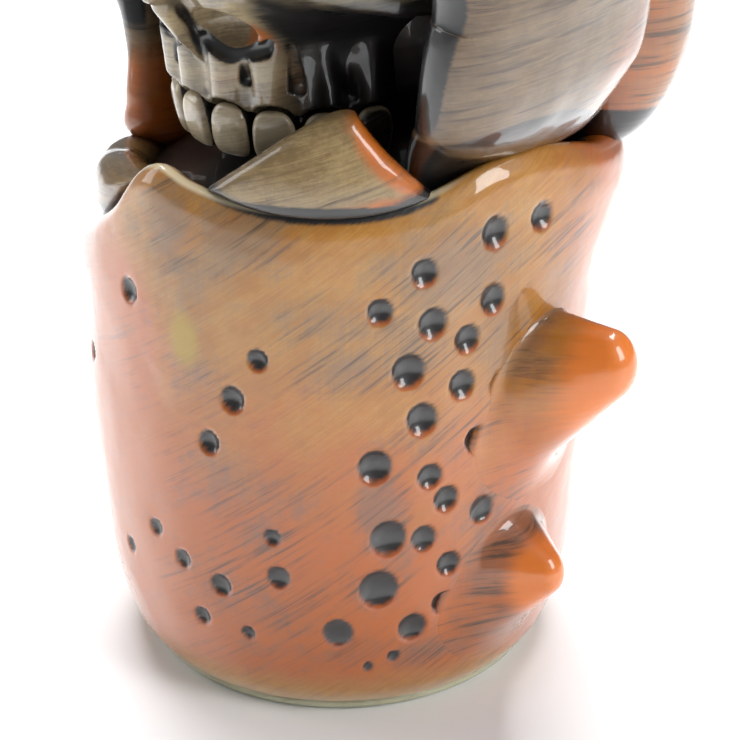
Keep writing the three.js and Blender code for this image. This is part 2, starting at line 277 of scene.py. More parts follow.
def skin(name, field, low, high, cell):
    """A quad mesh of a field's surface, drawn on to it exactly."""
    axes = [np.arange(l, h + cell * 4, cell) for l, h in zip(low, high)]
    axes = [axis[: (len(axis) - 1) // 4 * 4 + 1] for axis in axes]
    values = field_values(field, axes)
    inside = values < 0
    cells = np.array(values.shape) - 1
    total = np.zeros((*cells, 3))
    hits = np.zeros(cells)
    crossings = []
    for axis in range(3):
        u, v = [i for i in range(3) if i != axis]
        start, end = [slice(None)] * 3, [slice(None)] * 3
        start[axis], end[axis] = slice(0, -1), slice(1, None)
        a, b = values[tuple(start)], values[tuple(end)]
        crossing = inside[tuple(start)] != inside[tuple(end)]
        t = np.where(crossing, a / np.where(crossing, a - b, 1), 0)
        crossings.append(crossing)
        for du in (0, 1):
            for dv in (0, 1):
                part = [slice(None)] * 3
                part[u], part[v] = slice(du, du + cells[u]), slice(dv, dv + cells[v])
                here = crossing[tuple(part)]
                hits += here
                total[..., axis] += t[tuple(part)]
                total[..., u] += du * here
                total[..., v] += dv * here
    active = hits > 0
    number = np.full(cells, -1)
    number[active] = np.arange(active.sum())
    points = (np.argwhere(active) + total[active] / hits[active][:, None]) * cell + [axis[0] for axis in axes]
    quads = []
    for axis, crossing in enumerate(crossings):
        u, v = [i for i in range(3) if i != axis]
        place = np.argwhere(crossing)
        beyond = place[:, [u, v]]
        place = place[((beyond > 0) & (beyond < cells[[u, v]])).all(axis=1)]
        around = []
        for du, dv in ((-1, -1), (0, -1), (0, 0), (-1, 0)):
            beside = place.copy()
            beside[:, u] += du
            beside[:, v] += dv
            around.append(number[tuple(beside.T)])
        ring = np.stack(around, axis=-1)
        outward = inside[tuple(place.T)] == (axis != 1)
        quads.append(np.where(outward[:, None], ring, ring[:, ::-1]))
    for _ in range(3):
        slope = slope_of(field, points)
        reach = field(points) / np.maximum((slope**2).sum(axis=-1), 0.05)
        points -= slope * np.clip(reach, -cell, cell)[:, None]
    return build_mesh(name, points, np.vstack(quads))


# ---------------------------------------------------------------- barrel

# Height of the carved rim at angles round the mug.
RIM_CREST = [
    (-180, 98), (-150, 98.6), (-120, 92), (-95, 82), (-75, 77.5), (-60, 77.5), (-45, 79.5), (-30, 84),
    (-20, 87.8), (-10, 93.2), (-3, 99), (4, 102), (12, 100.3), (25, 98.4), (40, 98), (55, 98.6),
    (65, 99.8), (80, 103.3), (92, 104.2), (105, 102), (117, 99.3), (135, 98), (155, 98), (180, 98),
]


def rim_crest(angle):
    return along(RIM_CREST, (angle + 180) % 360 - 180)[..., 0]


def rim_flare(angle):
    return 4.6 * np.maximum(swell(angle, 132, 55), swell(angle, -132, 55))


# Outside and inside of the barrel: (radius, height, share of rim_lift, share of rim_flare).
BARREL_PROFILE = [
    (0, 1.9, 0, 0), (24, 1.9, 0, 0), (35.4, 1.9, 0, 0), (37.4, 2.4, 0, 0), (39.2, 4.6, 0, 0), (41, 9, 0, 0),
    (42.8, 16, 0, 0), (44, 26, 0, 0), (44.7, 38, 0, 0), (45, 52, 0, 0), (45, 66, 0.05, 0.02),
    (45.1, 78, 0.3, 0.35), (45.3, 88, 0.72, 0.8), (45.2, 94, 0.95, 1), (44.4, 98, 1, 0.95),
    (42.6, 100, 1, 0.8), (40.4, 99.4, 0.9, 0.5), (38.4, 97, 0.7, 0.3), (37.2, 93.5, 0.5, 0.1),
    (36.6, 90, 0.3, 0), (36.6, 87.5, 0.3, 0), (38.4, 84.5, 0.35, 0), (40.2, 79, 0.25, 0.05),
    (40.5, 64, 0, 0), (40.5, 46, 0, 0), (39.6, 28, 0, 0), (37.4, 15, 0, 0), (33, 9.5, 0, 0), (26, 8, 0, 0),
    (12, 8, 0, 0), (0, 8, 0, 0),
]

# Tool-made pits in the barrel: (angle, height, radius, depth).
PITS = [
    (79, 92.5, 2.6, 1.3), (91, 93, 2.3, 1.2), (63, 88, 2.3, 1.2), (79, 81, 2.5, 1.3), (54, 82, 2.2, 1.2),
    (65, 79, 2.6, 1.3), (73, 75, 2.4, 1.3), (60, 71, 2.9, 1.5), (72, 67, 2.5, 1.3), (82, 65, 2.3, 1.2),
    (63, 62, 2.8, 1.4), (76, 56, 2.5, 1.2), (53, 54, 3.0, 1.5), (65, 51, 2.3, 1.2), (69, 46, 2.4, 1.2),
    (78, 42, 2.5, 0.9), (56, 40, 3.3, 1.3), (64, 39, 2.4, 1.0), (70, 33, 2.3, 1.2), (54, 30, 3.6, 1.4),
    (69, 25, 2.2, 1.1), (62, 21, 2.8, 1.3), (45, 21, 2.9, 1.1), (58, 15, 1.3, 0.8), (52, 13, 1.1, 0.7),
    (29, 73, 1.9, 1.2), (23, 65, 2.3, 1.3), (17, 56, 2.1, 1.2), (31, 40, 1.6, 0.9), (32, 32, 2.2, 1.0),
    (18, 28, 2.2, 1.1), (12, 20, 1.8, 1.0), (24, 19, 1.4, 0.9), (8, 31, 1.8, 0.9), (0, 35, 1.6, 0.8),
    (-12, 27, 1.6, 0.8), (-4, 79, 2.2, 1.1), (-28, 60, 1.8, 0.9),
]
# A second patch of pits on the other side of the mug.
PITS += [(-angle - 4, height - 5, radius, depth) for angle, height, radius, depth in PITS[2:25:2]]
# A few at the back.
PITS += [
    (168, 66, 2.4, 1.2), (158, 54, 2.8, 1.3), (176, 48, 2.2, 1.1), (163, 38, 2.6, 1.2), (-172, 58, 2.0, 1.0),
    (150, 24, 2.2, 1.1), (172, 28, 1.7, 0.9), (-160, 34, 2.4, 1.2), (-166, 80, 2.1, 1.0),
]


def barrel_radius(height):
    """Radius of the barrel's outer face away from its rim."""
    outer = np.array(BARREL_PROFILE[3:14])
    return along(outer[:, [1, 0]], height)[..., 0]


def barrel_uneven(points):
    return 0.35 * wobble(points, 38, 1) + 0.12 * wobble(points, 13, 2)


def pit_depths(angle, height):
    """How deep the pits go at each place, how dark it is for them, and where an orange crescent lies along
    the lower edge of each.
    """
    depth, dark, edge = (np.zeros_like(angle) for _ in range(3))
    for pit_angle, pit_height, radius, deep in PITS:
        across = np.radians((angle - pit_angle + 180) % 360 - 180) * BARREL_RADIUS
        up = (height - pit_height) / 1.08
        bowl = np.clip(1 - (across**2 + up**2) / radius**2, 0, None)
        depth = np.maximum(depth, deep * bowl**0.75)
        shade = np.hypot(across, up - 0.05 * radius) / radius
        dark = np.maximum(dark, 1 - smoothstep(shade, 0.86, 1.02))
        below = np.hypot(across, up + 0.12 * radius) / radius
        edge = np.maximum(edge, (1 - smoothstep(below, 0.94, 1.12)) * smoothstep(-up / radius, 0.2, 0.8))
    return depth, dark, edge


def make_barrel():
    """The barrel's mesh, with its paint guides by vertex."""
    columns = 640
    angle = np.arange(columns) * 360 / columns
    profile = resampled([(r, 0, z, lift, flare) for r, z, lift, flare in BARREL_PROFILE], 430)
    radius, _, height, lift, flare = [column[:, None] for column in profile.T]
    turn = np.broadcast_to(angle, (len(profile), columns))
    radius = radius + flare * rim_flare(turn)
    height = height + lift * (rim_crest(turn) - RIM_HEIGHT)
    row = np.arange(len(profile))[:, None] - np.argmax(profile[:, 2])
    depth, dark, edge = pit_depths(turn, height)
    rings = ring_point(turn, radius, height)
    grown = np.clip(radius / 30, 0, 1) * barrel_uneven(rings) - np.where(row < 0, depth, 0)
    mesh = closed_grid("palm_barrel", ring_point(turn, radius + grown, height))
    front = (turn + 180) % 360 - 180
    # painted highlight: a pale line along the front of the rim's crest, where the lamps glint on the glaze
    crest = np.exp(-(((row + 1) / 1.9) ** 2)) * smoothstep(front, -14, 2) * (1 - smoothstep(front, 62, 84))
    guides = {
        "pit": np.where(row < 0, dark, 0), "pit_edge": np.where(row < 0, edge, 0),
        "lining": smoothstep(row + 0 * turn, 0.5, 3), "painted_crest_highlight_and_pale_foot": crest,
    }
    return mesh, {name: np.r_[v[1:-1].ravel(), v[0, 0], v[-1, 0]] for name, v in guides.items()}


def make_foot():
    profile = [(0, 0), (20, 0), (34.5, 0), (36, 0.25), (36.9, 0.9), (37, 1.6), (36, 2.2), (20, 2.2), (0, 2.2)]
    profile = resampled([(r, 0, z) for r, z in profile], 60)
    angle = np.arange(240) * 1.5
    return closed_grid("foot_ring", ring_point(angle[None], profile[:, :1], profile[:, 2:]))


# ---------------------------------------------------------------- upper wall

# (height, half depth front to back, half width as a share of it, how far the centre is behind the axis)
NECK_ROWS = [
    (79, 36.1, 1, 0), (87, 36.1, 1, 0), (91, 30, 1.1, 4), (96, 24, 1.26, 9), (112, 24.5, 1.34, 8.5),
    (124, 28, 1.22, 7), (136, 31, 1.12, 5), (150, 32.5, 1.08, 3.5), (163, 33.5, 1.06, 3),
]


def neck_ring(angle, height, inset):
    """Points on the upper wall's face, set in by a distance."""
    radius, widen, behind = np.moveaxis(along(NECK_ROWS, height), -1, 0)
    points = ring_point(angle, radius - inset, height)
    points[..., 0] *= widen
    points[..., 1] += behind
    return points


def make_neck():
    outside = np.linspace(78, 163.2, 110)
    angle = (np.arange(240) * 1.5)[None]
    outer = neck_ring(angle, outside[:, None], 0)
    lowered = outside[::-1, None]
    inner = neck_ring(angle, lowered, WALL)
    inner[..., 2] -= 3 * (1 - smoothstep(lowered, 150, 163))
    return closed_band("neck_wall", np.concatenate([outer, inner]))


def make_drinking_rim():
    """A thick round lip: a turned section that follows the oval of the mouth."""
    turn = np.radians(np.arange(0, 360, 9))
    across, up = 2.9 * np.cos(turn), 2.6 * np.sin(turn)
    angle = (np.arange(360))[None]
    centre = MOUTH_TOP - 2.7
    rings = neck_ring(angle, np.full((len(turn), 1), 163.0), 1.9 - across[:, None])
    rings[..., 2] = centre + up[:, None] + 0.25 * wobble(rings, 40, 5)
    return closed_band("drinking_lip", rings)


# ---------------------------------------------------------------- skull


def tooth_place(half_pitches):
    """A tooth's angle on the dental arch, and the unit vector that points out of the mouth there."""
    angle = math.radians(half_pitches * TOOTH_PITCH / 2)
    return angle, np.array([math.sin(angle), -math.cos(angle), 0])


def arch_point(half_pitches, radius, height):
    _, out = tooth_place(half_pitches)
    return np.array([out[0] * radius + ARCH_CENTRE[0], out[1] * radius + ARCH_CENTRE[1], height])


# The rolled lower edge of the nose, on one side.
NOSE_EDGE = [(2.4, -31.4, 119.6), (7.3, -30.4, 117.8), (12.2, -27.6, 119.4), (13.6, -26.6, 122.6)]
NOSE_EDGE_RADII = [1.1, 1.5, 1.3, 0.9]
EYE_SOCKET = (14.3, -42, 139.6), (9.3, 14, 8)  # centre and radii of the hollow
# Half pitches from the middle of the dental arch to each tooth on one side.
TEETH = (1, 3, 5, 7)
# Slots between the roots of the teeth: (half pitches from the middle, radius, lowest, highest).
ROOT_SLOTS = [(0, 0.5, 110, 114), (2, 0.9, 113.5, 119), (4, 1.3, 113, 120), (6, 1.1, 111, 118)]


def skull_field(p):
    m = mirrored(p)
    bone = ellipsoid(m, (0, -8, 140), (34.5, 32.5, 26.5))
    brow = strand(m, [(0, -37, 146), (9, -38, 149), (20, -32.5, 150.5), (28, -22, 146)], [3.6, 4.2, 3.8, 3])
    bone = join(bone, brow, 6)
    cheekbone = [(18, -31.5, 135), (25, -27, 132.5), (31, -18.5, 129.5), (34.5, -4, 129.5)]
    bone = join(bone, strand(m, cheekbone, [4.4, 4, 3.7, 3.2]), 3)
    bridge = strand(m, [(0, -38, 147), (0, -41.5, 138), (0, -39.5, 129)], [4, 3.1, 2.4])
    bone = join(bone, bridge, 4)
    # upper jaw, with a swelling over the root of each tooth
    flat = np.hypot(m[..., 0], m[..., 1] - ARCH_CENTRE[1])
    jaw_radius = along([(108, 22.6), (112, 22.9), (118, 24), (122, 24.8), (130, 24)], m[..., 2])[..., 0]
    jaw = common(flat - jaw_radius, np.abs(m[..., 2] - 120) - 12, 1.4)
    for half_pitches in TEETH:
        foot, top = arch_point(half_pitches, 20.4, 109), arch_point(half_pitches * 0.95, 22, 119.5)
        jaw = join(jaw, strand(m, [foot, top], [3.8, 3.3]), 0.9)
    bone = join(bone, jaw, 3)
    # hollows: eye socket, below the cheekbone, nose
    bone = carve(bone, ellipsoid(m, *EYE_SOCKET), 3)
    bone = carve(bone, ellipsoid(m, (31, -23, 118.5), (9.5, 12, 8)), 3)
    bone = carve(bone, ellipsoid(m, (7.3, -32, 122.3), (5.5, 6.2, 4.2)), 0.8)
    bone = carve(bone, strand(m, [(5.2, -37, 124.5), (3.8, -40.5, 132)], [2.6, 1.6]), 0.9)
    bone = carve(bone, strand(m, NOSE_EDGE, NOSE_EDGE_RADII), 0.8)
    bone = join(bone, strand(m, [(0, -30.4, 116.5), (0, -34, 121), (0, -37.5, 126)], [0.8, 1.4, 1.8]), 1.2)
    # slots between the roots, and an arched groove round each tooth
    for half_pitches, wide, low, high in ROOT_SLOTS:
        foot, top = arch_point(half_pitches, 23, low), arch_point(half_pitches * 0.96, 25, high)
        bone = carve(bone, strand(m, [foot, top], [wide, wide * 0.7]), 0.5)
    for half_pitches in TEETH:
        _, out = tooth_place(half_pitches)
        side = np.array([-out[1], out[0], 0])
        q = m - arch_point(half_pitches, 22.5, 103)
        q = np.stack([q @ side, q @ out, q[..., 2]], axis=-1)
        bone = carve(bone, ellipsoid(q, (0, 0, 0), (4.5, 4.4, 7.5)), 0.5)
    # the cup passes behind the face
    radius, widen, behind = np.moveaxis(along(NECK_ROWS, m[..., 2]), -1, 0)
    cup = np.hypot(m[..., 0] / widen, m[..., 1] - behind) - (radius - WALL / 2)
    return carve(bone, cup, 0.2)


def make_skull():
    cell = 0.42
    return skin("skull_bone", skull_field, (-38, -47, 107), (38, 4, 168), cell)


def make_tooth(half_pitches, number):
    """A rounded block that narrows to its root and has a flat biting edge."""
    draw = np.random.default_rng(40 + number)
    angle, out = tooth_place(half_pitches)
    side = np.array([math.cos(angle), math.sin(angle), 0])
    wide, deep, tall = draw.uniform(3.65, 3.85), 3, draw.uniform(4.6, 4.8)
    rise = np.linspace(0, math.pi, 56)[:, None]
    turn = (np.arange(64) * 2 * math.pi / 64)[None]
    power = lambda x, n: np.sign(x) * np.abs(x) ** n
    ring = power(np.sin(rise), np.where(rise < math.pi / 2, 0.4, 0.7))
    x = wide * ring * power(np.cos(turn), 0.55)
    y = deep * ring * power(np.sin(turn), 0.5)
    z = -tall * power(np.cos(rise), 0.75) * np.ones_like(turn)
    x = x * (1 - 0.05 * z / tall) + draw.uniform(-0.05, 0.05) * z
    y = y + 0.18 * z
    centre = arch_point(half_pitches, ARCH_RADIUS - 3.7, 104.1 + draw.uniform(-0.25, 0.25))
    rings = centre + x[..., None] * side + y[..., None] * out + z[..., None] * np.array([0, 0, 1.0])
    return closed_grid(f"tooth_{number}_enamel", rings[:, ::-1])


# ---------------------------------------------------------------- pieces on the rim


def bezier(start, middle, end, count=10):
    t = np.linspace(0, 1, count, endpoint=False)[:, None]
    start, middle, end = map(np.array, (start, middle, end))
    return (1 - t) ** 2 * start + 2 * t * (1 - t) * middle + t**2 * end


def outline_field(points, x, y):
    """Signed distance to a closed outline in the plane."""
    best = np.full(x.shape, np.inf)
    inside = np.zeros(x.shape, bool)
    for (ax, ay), (bx, by) in zip(points, np.roll(points, -1, axis=0)):
        dx, dy = bx - ax, by - ay
        t = np.clip(((x - ax) * dx + (y - ay) * dy) / (dx * dx + dy * dy), 0, 1)
        best = np.minimum(best, np.hypot(x - ax - t * dx, y - ay - t * dy))
        crosses = (ay > y) != (by > y)
        with np.errstate(divide="ignore", invalid="ignore"):
            inside ^= crosses & (x < ax + (y - ay) * dx / dy)
    return np.where(inside, -best, best)


PETAL = {"angle": 42, "radius": 40.5, "height": 107, "lean": 0.16}
PETAL_OUTLINE = np.vstack([
    bezier((-17.4, -7.4), (-1, -10.9), (17.3, -8)),
    bezier((17.3, -8), (9.5, -1), (5.2, 5.2), 8),
    bezier((5.2, 5.2), (2.2, 6.4), (-6.5, 0.6), 8),
    bezier((-6.5, 0.6), (-12.6, -3.9), (-17.4, -7.4), 8),
])


def petal_field(p):
    angle = angle_of(p)
    x = np.radians(angle - PETAL["angle"]) * PETAL["radius"]
    y = p[..., 2] - PETAL["height"]
    out = np.hypot(p[..., 0], p[..., 1]) - PETAL["radius"] + PETAL["lean"] * y
    edge = outline_field(PETAL_OUTLINE, x, y) - 0.6
    crown = 1.2 - 0.008 * x**2 - 0.02 * (y + 3) ** 2
    return common(edge, np.abs(out - crown) - 2.8, 2.2)


def make_petal():
    low, high = node_box("petal")
    return skin("front_petal", petal_field, low - 3, high + 3, 0.3)


KNUCKLE_OUTLINE = np.vstack([
    bezier((-23, -1), (-12, -10), (3.3, -6.4), 8),
    bezier((3.3, -6.4), (14, -2.5), (26.5, 10.5), 8),
    bezier((26.5, 10.5), (14, 11), (2, 7.5), 8),
    bezier((2, 7.5), (-14, 7), (-23, -1), 8),
])


def knuckle_field(p):
    x = np.radians(angle_of(p) + 50) * 37.5
    y = p[..., 2] - 85
    out = np.hypot(p[..., 0], p[..., 1]) - 37.5
    return common(outline_field(KNUCKLE_OUTLINE, x, y), np.abs(out) - 5, 5)


def make_knuckle():
    low, high = node_box("knuckle")
    return skin("rim_knuckle", knuckle_field, low - 3, high + 3, 0.35)


# ---------------------------------------------------------------- pincers


def pincer(name, side, spine, width, depth):
    """A tapering, curving body. Its half width runs round the mug, its half depth outwards."""
    steps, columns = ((150, 120))
    centre = resampled([ring_point(side * angle, radius, height) for angle, radius, height in spine], steps)
    tangent = np.gradient(centre, axis=0)
    tangent /= np.linalg.norm(tangent, axis=1)[:, None]
    out = centre * [1, 1, 0]
    out -= (out * tangent).sum(axis=1)[:, None] * tangent
    out /= np.linalg.norm(out, axis=1)[:, None]
    across = np.cross(tangent, out)
    t = np.linspace(0, 1, steps)
    wide, deep = along(width, t)[:, :1], along(depth, t)[:, :1]
    a = (np.arange(columns) * 2 * math.pi / columns)[None]
    full = lambda x: np.sign(x) * np.abs(x) ** 0.84
    x, y = -full(np.cos(a)) * wide, full(np.sin(a)) * deep
    rings = centre[:, None] + x[..., None] * across[:, None] + y[..., None] * out[:, None]
    rings += (0.4 * wobble(rings, 30, len(name)) + 0.12 * wobble(rings, 9, 3))[..., None] * out[:, None]
    return closed_grid(name, rings)


# Both front halves end alike, but the one over the notch in the rim stands on a narrow stalk.
PAD_TIP = [(90, 45.3, 129), (87, 46, 141), (79, 45.5, 155), (62, 44, 169), (47, 41, 177)]
PADS = {
    "right": {
        "spine": [(88, 33, 90), (88, 35, 102), (89, 40.5, 110), (89, 44, 119), *PAD_TIP],
        "width": [(0, 0), (0.03, 8), (0.07, 14), (0.12, 17), (0.21, 20.5), (0.3, 22), (0.4, 22), (0.52, 20.5),
                  (0.64, 18), (0.8, 11.5), (0.93, 5.5), (0.98, 2.8), (1, 0)],
        "depth": [(0, 0), (0.03, 3), (0.07, 4), (0.12, 4.5), (0.17, 5.5), (0.21, 7), (0.3, 9.3), (0.4, 10),
                  (0.52, 10.5), (0.66, 10), (0.8, 7.5), (0.93, 4), (0.98, 2.2), (1, 0)],
    },
    "left": {
        "spine": [(80, 35, 86), (81, 35.5, 98), (83, 37, 106), (88, 41.5, 113), (89, 45, 120), *PAD_TIP],
        "width": [(0, 0), (0.02, 8), (0.05, 13), (0.1, 13.5), (0.19, 13), (0.23, 15.5), (0.28, 20.5),
                  (0.34, 22), (0.44, 22), (0.54, 20.5), (0.66, 18), (0.82, 11), (0.93, 5.5), (0.98, 2.8),
                  (1, 0)],
        "depth": [(0, 0), (0.02, 4), (0.05, 6.5), (0.1, 5.5), (0.19, 5), (0.23, 6), (0.28, 8), (0.34, 9.5),
                  (0.44, 10), (0.54, 10.5), (0.66, 10), (0.82, 7), (0.93, 4), (0.98, 2.2), (1, 0)],
    },
}
BACK = {
    "spine": [(146, 36, 88), (147, 40, 96), (147, 44.5, 106), (146, 47, 118), (144, 46.5, 131),
              (141, 43.5, 145), (136, 39.5, 157)],
    "width": [(0, 0), (0.02, 5), (0.05, 10), (0.13, 17), (0.3, 22.5), (0.5, 23), (0.65, 21), (0.8, 14),
              (0.93, 7), (0.98, 3.5), (1, 0)],
    "depth": [(0, 0), (0.02, 2.2), (0.05, 4), (0.13, 7.5), (0.28, 11.5), (0.45, 13), (0.6, 13),
              (0.8, 10), (0.93, 5.5), (0.98, 2.8), (1, 0)],
}


# ---------------------------------------------------------------- thorns

# A round root inside the wall and a smaller round tip, both taller than they are wide: (place, radius).
THORNS = {
    "upper_spike": [((94.5, 36, 58), 13.5), ((98, 55.8, 67.3), 5.2)],
    "lower_spike": [((87, 36, 26.5), 12.5), ((89, 51, 29.2), 3.6)],
}
THORN_STRETCH = 1.25


def barrel_field(p):
    return np.hypot(p[..., 0], p[..., 1]) - barrel_radius(p[..., 2]) - barrel_uneven(p)


def thorn_field(p, side, balls):
    """A blunt cone whose foot flows out into the barrel's face and then dives just under it."""
    squash = np.array([1, 1, 1 / THORN_STRETCH])
    centres = [ring_point(side * place[0], place[1], place[2]) * squash for place, _ in balls]
    cone = round_cone(p * squash, *centres, *(radius for _, radius in balls))
    barrel = barrel_field(p)
    soft = 1.4 + 3 * smoothstep(balls[0][0][2] - p[..., 2], -4, 8)
    outside = common(join(cone, barrel, soft) + 0.06, -(barrel + 1.2), 0.2)
    return common(outside, cone - 0.8 * soft, 0.3)


def make_thorn(side, word, name):
    low, high = node_box(f"{word}_{name}")
    return skin(f"{word}_{name}_thorn", lambda p: thorn_field(p, side, THORNS[name]), low - 5, high + 5, 0.4)


# ---------------------------------------------------------------- per-vertex paint guides


def put_values(mesh, name, values):
    mesh.attributes.new(name, "FLOAT", "POINT").data.foreach_set("value", np.asarray(values, np.float32))


def put_vectors(mesh, name, values):
    data = mesh.attributes.new(name, "FLOAT_VECTOR", "POINT").data
    data.foreach_set("vector", np.asarray(values, np.float32).ravel())


def brush_places(points, swing, turned=40.0):
    """Where the paint brush passed: short along its stroke and true across it. The strokes slope by swing."""
    angle = np.radians(angle_of(points) - turned)
    across = points[..., 2] - swing * np.sin(angle)
    return np.stack([points[..., 0] * 0.07, points[..., 1] * 0.07, across], axis=-1)


# Smudges of thin dark paint on the barrel: (angle, height, half width in degrees, half height, strength).
SMUDGES = [
    (9, 93, 6, 9, 0.9), (14, 85, 5, 9, 0.6), (26, 94, 10, 5, 0.9), (20, 88, 8, 4, 0.5),
    (0, 91, 4, 3, 0.5), (46, 80, 16, 5, 0.5), (70, 88, 14, 7, 0.9), (62, 76, 12, 6, 0.6),
    (48, 72, 10, 4, 0.7), (82, 74, 8, 10, 0.7), (54, 46, 5, 6, 1.0), (56, 41, 6, 5, 0.8),
    (54, 31, 7, 4, 0.5), (80, 34, 8, 12, 0.8), (84, 20, 12, 7, 0.9), (35, 47, 14, 6, 0.4),
    (30, 40, 8, 5, 0.5), (20, 50, 8, 5, 0.5), (15, 68, 6, 6, 0.5), (24, 26, 14, 6, 0.5),
    (70, 15, 16, 4, 0.6), (40, 16, 18, 3, 0.3), (100, 84, 9, 9, 0.5), (103, 95, 6, 5, 0.4),
    (66, 58, 12, 5, 0.4), (-30, 82, 10, 8, 0.5), (-55, 60, 14, 9, 0.6), (-80, 40, 16, 9, 0.6),
    (-60, 22, 18, 6, 0.7), (-110, 66, 14, 9, 0.6), (-140, 84, 14, 7, 0.6), (-150, 40, 16, 10, 0.7),
    (-170, 60, 12, 8, 0.5), (150, 80, 12, 8, 0.7), (135, 52, 14, 9, 0.6), (160, 26, 18, 8, 0.7),
    (122, 24, 12, 8, 0.6), (176, 88, 10, 6, 0.5),
]


def smudged(points):
    angle, height = angle_of(points), points[:, 2]
    total = np.zeros(len(points))
    for at, z, wide, tall, strength in SMUDGES:
        far = ((angle - at + 180) % 360 - 180) ** 2 / wide**2 + (height - z) ** 2 / tall**2
        total = np.maximum(total, strength * np.exp(-0.7 * far))
    return total


def sprayed(points):
    """The barrel's orange: all over its lower half, and further up round its sides and back."""
    angle, height = angle_of(points), points[:, 2]
    low = 1 - smoothstep(height, 26, 92)
    sides = smoothstep(turn_between(angle, 44), 36, 74)
    spot = np.exp(-((turn_between(angle, -5) / 9) ** 2) - ((height - 75) / 13) ** 2)
    foot = 0.9 * (1 - smoothstep(height, 3, 16))
    return np.clip(0.9 * low + 0.75 * sides + 0.7 * spot - foot, 0, 1)


def nearness(mesh, others, reach):
    """1 where a vertex touches another piece, falling to 0 at the reach."""
    trees = [BVHTree.FromPolygons(
        [v.co for v in other.vertices], [p.vertices for p in other.polygons]) for other in others]
    closest = np.full(len(mesh.vertices), reach)
    for i, vertex in enumerate(mesh.vertices):
        for tree in trees:
            found = tree.find_nearest(vertex.co, reach * MM)
            if found[3] is not None:
                closest[i] = min(closest[i], found[3] / MM)
    return 1 - closest / reach


def shelter(field, mesh, reach):
    """1 deep in a hollow of a solid field and 0 on its open faces."""
    points, normals = vertex_array(mesh), normal_array(mesh)
    open_share = np.zeros(len(points))
    for share in (0.35, 1.0):
        step = reach * share
        open_share += 0.5 * np.clip(field(points + normals * step) / step, 0, 1)
    return 1 - open_share


# ---------------------------------------------------------------- materials


def srgb(*parts):
    """A colour given as 0-255 sRGB numbers."""
    shares = [part / 255 for part in parts]
    linear = [s / 12.92 if s <= 0.04045 else ((s + 0.055) / 1.055) ** 2.4 for s in shares]
    return (*linear, 1)


class Paint:
    """A material being built up in layers of paint under one clear glaze."""

    def __init__(self, name, colour, gloss=1.0):
        self.material = bpy.data.materials.new(name)
        self.material.use_nodes = True
        self.tree = self.material.node_tree
        self.shader = self.tree.nodes["Principled BSDF"]
        self.colour = colour
        coat = {"Coat Weight": gloss, "Coat Roughness": 0.035, "Coat IOR": 1.5}
        self.set(self.shader, {"Roughness": 0.42, **coat})
        brush = self.node("ShaderNodeAttribute")
        brush.attribute_name = "brush"
        self.brush = brush.outputs["Vector"]
        metres = self.node("ShaderNodeTexCoord").outputs["Object"]
        scaled = self.node("ShaderNodeVectorMath", {0: metres, "Scale": 1000.0}, operation="SCALE")
        self.place = scaled.outputs[0]

    def set(self, node, inputs):
        for key, value in inputs.items():
            if isinstance(value, bpy.types.NodeSocket):
                self.tree.links.new(value, node.inputs[key])
            else:
                node.inputs[key].default_value = value

    def node(self, kind, inputs=None, **settings):
        node = self.tree.nodes.new(kind)
        for key, value in settings.items():
            setattr(node, key, value)
        self.set(node, inputs or {})
        return node

    def guide(self, name):
        node = self.node("ShaderNodeAttribute")
        node.attribute_name = name
        return node.outputs["Fac"]

    def noise(self, where, scale, detail=4.0, roughness=0.55, distortion=0.0):
        inputs = {"Vector": where, "Scale": scale, "Detail": detail, "Roughness": roughness}
        return self.node("ShaderNodeTexNoise", {**inputs, "Distortion": distortion}).outputs["Fac"]

    def squashed(self, *scales):
        """The place on the mug with each axis scaled, for marks that run along the smallest."""
        return self.node("ShaderNodeVectorMath", {0: self.place, 1: scales}, operation="MULTIPLY").outputs[0]

    def blend(self, *shares):
        """A weighted sum of values."""
        total = 0.0
        for value, weight in shares:
            total = self.math("MULTIPLY_ADD", value, weight, total)
        return total

    def math(self, operation, a, b=0.0, c=0.0):
        return self.node("ShaderNodeMath", {0: a, 1: b, 2: c}, operation=operation).outputs[0]

    def ramp(self, value, low, high, top=1.0):
        inputs = {"Value": value, "From Min": low, "From Max": high, "To Min": 0.0, "To Max": top}
        return self.node("ShaderNodeMapRange", inputs, interpolation_type="SMOOTHSTEP").outputs["Result"]

    def layer(self, colour, mask):
        """Paints a colour over what is there, where the mask is 1."""
        mix = self.node("ShaderNodeMix", {"Factor": mask}, data_type="RGBA")
        self.set(mix, {6: self.colour, 7: colour})
        self.colour = mix.outputs[2]

    def finish(self, bump=0.25):
        self.set(self.shader, {"Base Color": self.colour})
        ripple = self.noise(self.place, 0.11, 2.0)
        grain = self.noise(self.brush, 1.2, 3.0)
        waves = {"Height": ripple, "Strength": bump, "Distance": 0.0012}
        soft = self.node("ShaderNodeBump", waves).outputs[0]
        strokes = {"Height": grain, "Strength": 0.25, "Distance": 0.0003, "Normal": soft}
        under = self.node("ShaderNodeBump", strokes).outputs[0]
        self.set(self.shader, {"Coat Normal": soft, "Normal": under})
        return self.material


BLACK_WASH = srgb(14, 12, 12)
DARK_STROKE = srgb(70, 52, 38)
GREY_VEIL = srgb(104, 88, 78)


